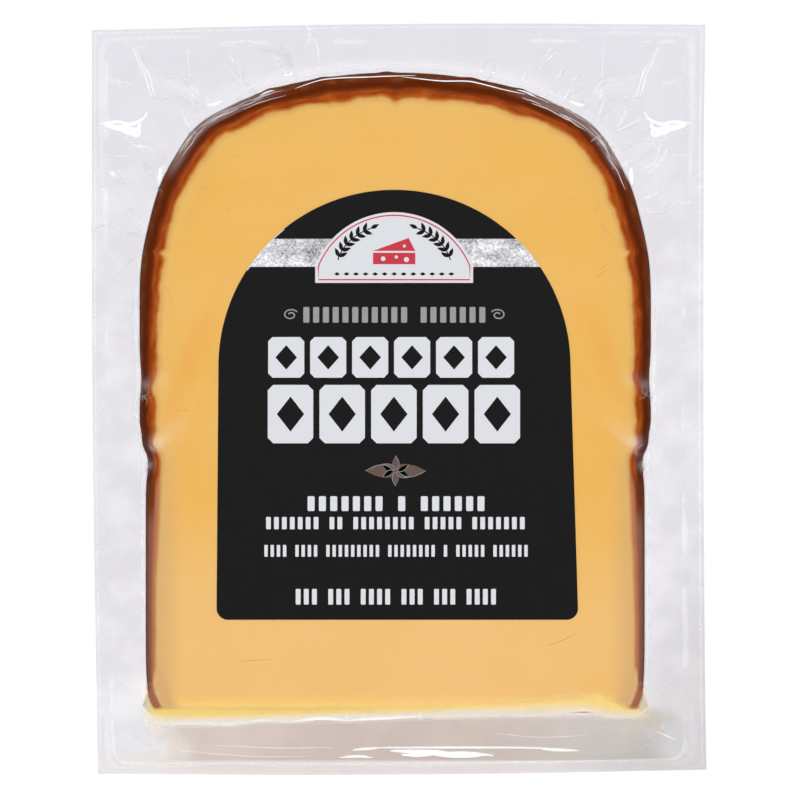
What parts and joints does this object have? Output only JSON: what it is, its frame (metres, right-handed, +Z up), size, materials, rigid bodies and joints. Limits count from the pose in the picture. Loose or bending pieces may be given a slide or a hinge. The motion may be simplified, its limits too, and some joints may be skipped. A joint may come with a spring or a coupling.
{
  "type": "smoked gouda",
  "caption": "Arched slab of smoked cheese with a brown rind, sealed in clear film that ends in a flat flange, with a dark arched label on its front.",
  "frame": {"origin": "under the middle of the pack, on the surface that its flat back rests on", "axes": "+Z up, out of the front that carries the label; +Y along the length, towards the arched top of the slab; +X to the right as the label is read"},
  "size_m": [0.1489, 0.1821, 0.0317],
  "materials": {
    "packed_cheese": "waxy yellow cheese under tight glossy clear film",
    "cheese": "smooth cut cheese, slightly translucent and waxy",
    "rind": "dark smoked rind that turns orange-brown towards the cut face",
    "clear_film": "clear, glossy, finely creased film",
    "label_black": "satin black printed paper",
    "label_silver": "glittering silver print",
    "label_white": "satin white print",
    "label_red": "satin red print",
    "label_bronze": "dull bronze print"
  },
  "bodies": {
    "root": {"vacuum_pack": "packed_cheese", "label": "label_black"}
  },
  "joints": []
}
